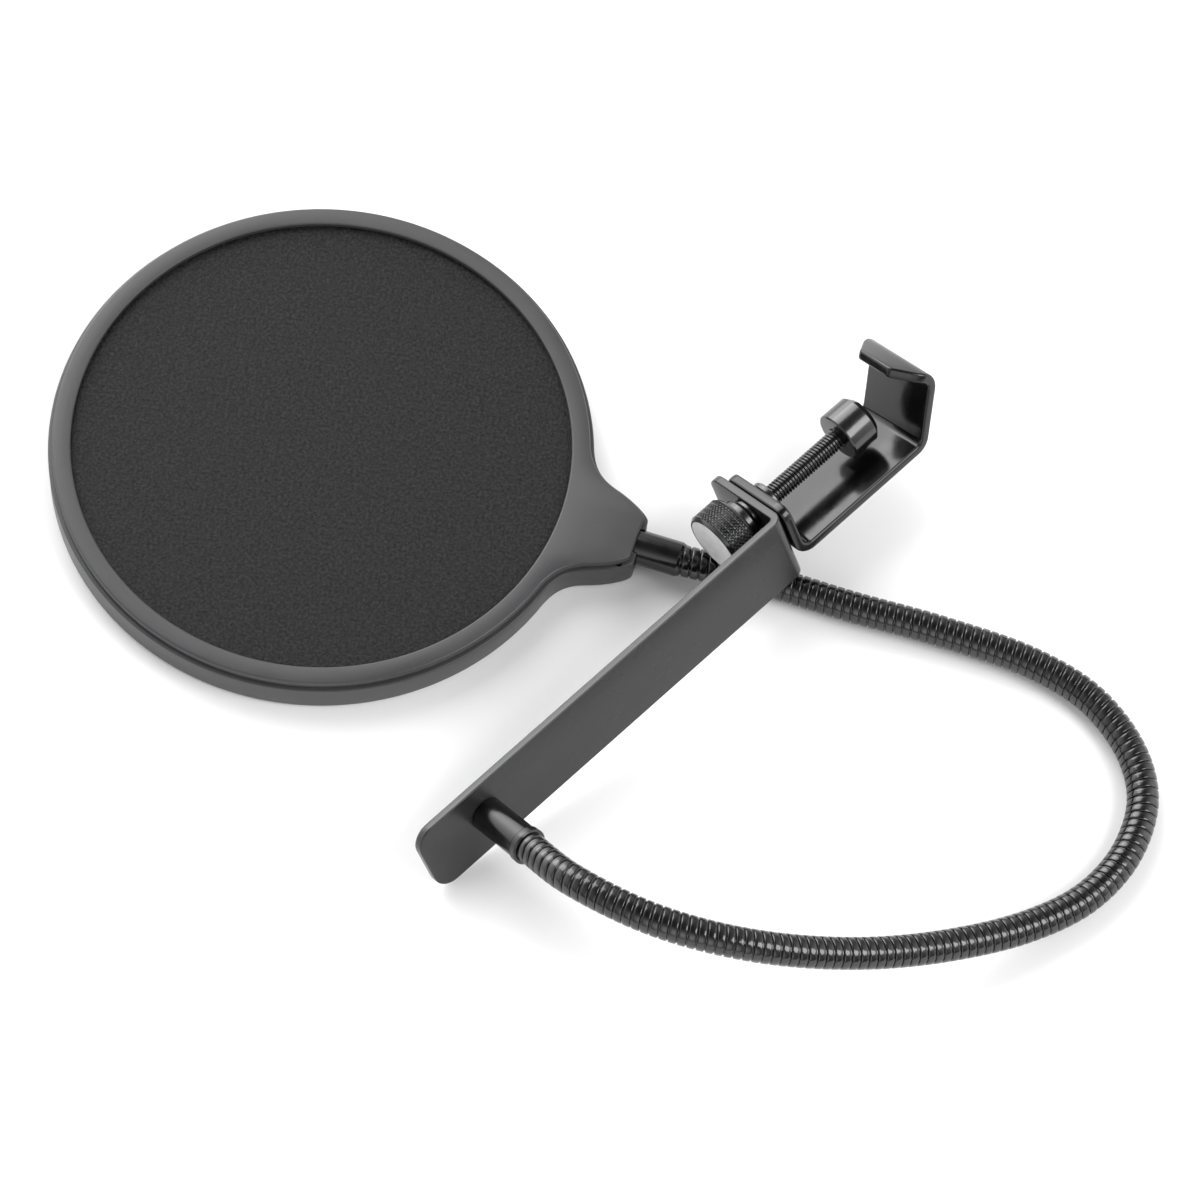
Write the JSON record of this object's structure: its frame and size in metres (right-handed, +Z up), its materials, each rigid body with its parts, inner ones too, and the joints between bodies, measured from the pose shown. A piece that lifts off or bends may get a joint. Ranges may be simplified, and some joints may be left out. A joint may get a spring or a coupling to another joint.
{
  "type": "pop filter",
  "caption": "Round double-mesh pop filter on a bendable gooseneck, with a flat strip arm and a V-jaw screw clamp for a stand tube, lying down.",
  "frame": {"origin": "middle of the underside of the whole object's box, on the surface that the filter lies on", "axes": "+Z up from the surface; +X along the longest side, from the screen towards the gooseneck's far loop; +Y towards the jaw's lip"},
  "size_m": [0.3226, 0.2242, 0.0439],
  "materials": {
    "shell_plastic": "fine moulded texture, dark grey",
    "hoop_plastic": "plain moulded black",
    "mesh_fabric": "fine knitted nylon mesh, black",
    "arm_paint": "satin black powder coat",
    "jaw_paint": "gloss black enamel",
    "hose_metal": "gloss black plated strip steel",
    "ferrule_metal": "gloss black plated brass",
    "clamp_metal": "black oxide steel",
    "zinc_steel": "zinc plated"
  },
  "bodies": {
    "clamp": {"jaw_bracket": "jaw_paint", "threaded_bush": "clamp_metal"},
    "arm": {"arm_bracket": "arm_paint", "lower_ferrule": "ferrule_metal", "ferrule_screw": "zinc_steel", "lock_washer": "zinc_steel", "gooseneck_1": "hose_metal"},
    "neck_1": {"gooseneck_2": "hose_metal"},
    "neck_2": {"gooseneck_3": "hose_metal"},
    "neck_3": {"gooseneck_4": "hose_metal"},
    "neck_4": {"gooseneck_5": "hose_metal"},
    "neck_5": {"gooseneck_6": "hose_metal"},
    "neck_6": {"gooseneck_7": "hose_metal"},
    "neck_7": {"gooseneck_8": "hose_metal"},
    "screen": {"gooseneck_9": "hose_metal", "upper_ferrule": "ferrule_metal", "neck_screw": "zinc_steel", "rear_shell": "shell_plastic", "front_shell": "shell_plastic", "mesh_hoop": "hoop_plastic", "front_mesh": "mesh_fabric", "rear_mesh": "mesh_fabric"},
    "pad": {"pressure_pad": "clamp_metal", "retaining_clip": "zinc_steel"},
    "spindle": {"clamp_spindle": "clamp_metal", "thumb_knob": "clamp_metal"}
  },
  "joints": [
    {"name": "arm_swivel", "type": "hinge", "parent": "clamp", "child": "arm", "pos_m": [0.0405, 0.02553, 0.02212], "axis": [0.6402, 0.763, 0.0898], "continuous": true},
    {"name": "lift_1", "type": "hinge", "parent": "arm", "child": "neck_1", "pos_m": [0.02346, -0.10462, 0.03052], "axis": [-0.2614, -0.9652, 0], "range_deg": [0, 35]},
    {"name": "sweep_2", "type": "hinge", "parent": "neck_1", "child": "neck_2", "pos_m": [0.06295, -0.10646, 0.02452], "axis": [0, 0, 1], "range_deg": [0, 25]},
    {"name": "lift_3", "type": "hinge", "parent": "neck_2", "child": "neck_3", "pos_m": [0.10015, -0.09614, 0.01293], "axis": [0.3684, -0.9297, 0], "range_deg": [0, 30]},
    {"name": "sweep_4", "type": "hinge", "parent": "neck_3", "child": "neck_4", "pos_m": [0.13542, -0.07826, 0.00544], "axis": [0, 0, 1], "range_deg": [0, 10]},
    {"name": "lift_5", "type": "hinge", "parent": "neck_4", "child": "neck_5", "pos_m": [0.15677, -0.04541, 0.0047], "axis": [0.9916, -0.1295, 0], "range_deg": [-45, 0]},
    {"name": "sweep_6", "type": "hinge", "parent": "neck_5", "child": "neck_6", "pos_m": [0.13971, -0.0108, 0.0047], "axis": [0, 0, 1], "range_deg": [0, 10]},
    {"name": "lift_7", "type": "hinge", "parent": "neck_6", "child": "neck_7", "pos_m": [0.10196, 0.0026, 0.0047], "axis": [0.1898, 0.9818, 0], "range_deg": [-45, 0]},
    {"name": "sweep_8", "type": "hinge", "parent": "neck_7", "child": "screen", "pos_m": [0.06215, 0.00934, 0.00467], "axis": [0, 0, 1], "range_deg": [-8, 18]},
    {"name": "pad_slide", "type": "slide", "parent": "clamp", "child": "pad", "axis": [0.6402, 0.763, 0.0898], "range_m": [-0.024, 0]},
    {"name": "spindle_turn", "type": "hinge", "parent": "pad", "child": "spindle", "pos_m": [0.0405, 0.02553, 0.02212], "axis": [0.6402, 0.763, 0.0898], "range_deg": [-8640, 0]}
  ],
  "couplings": [
    {"joint": "spindle_turn", "follows": "pad_slide", "rad_per_m": 6283.2}
  ]
}
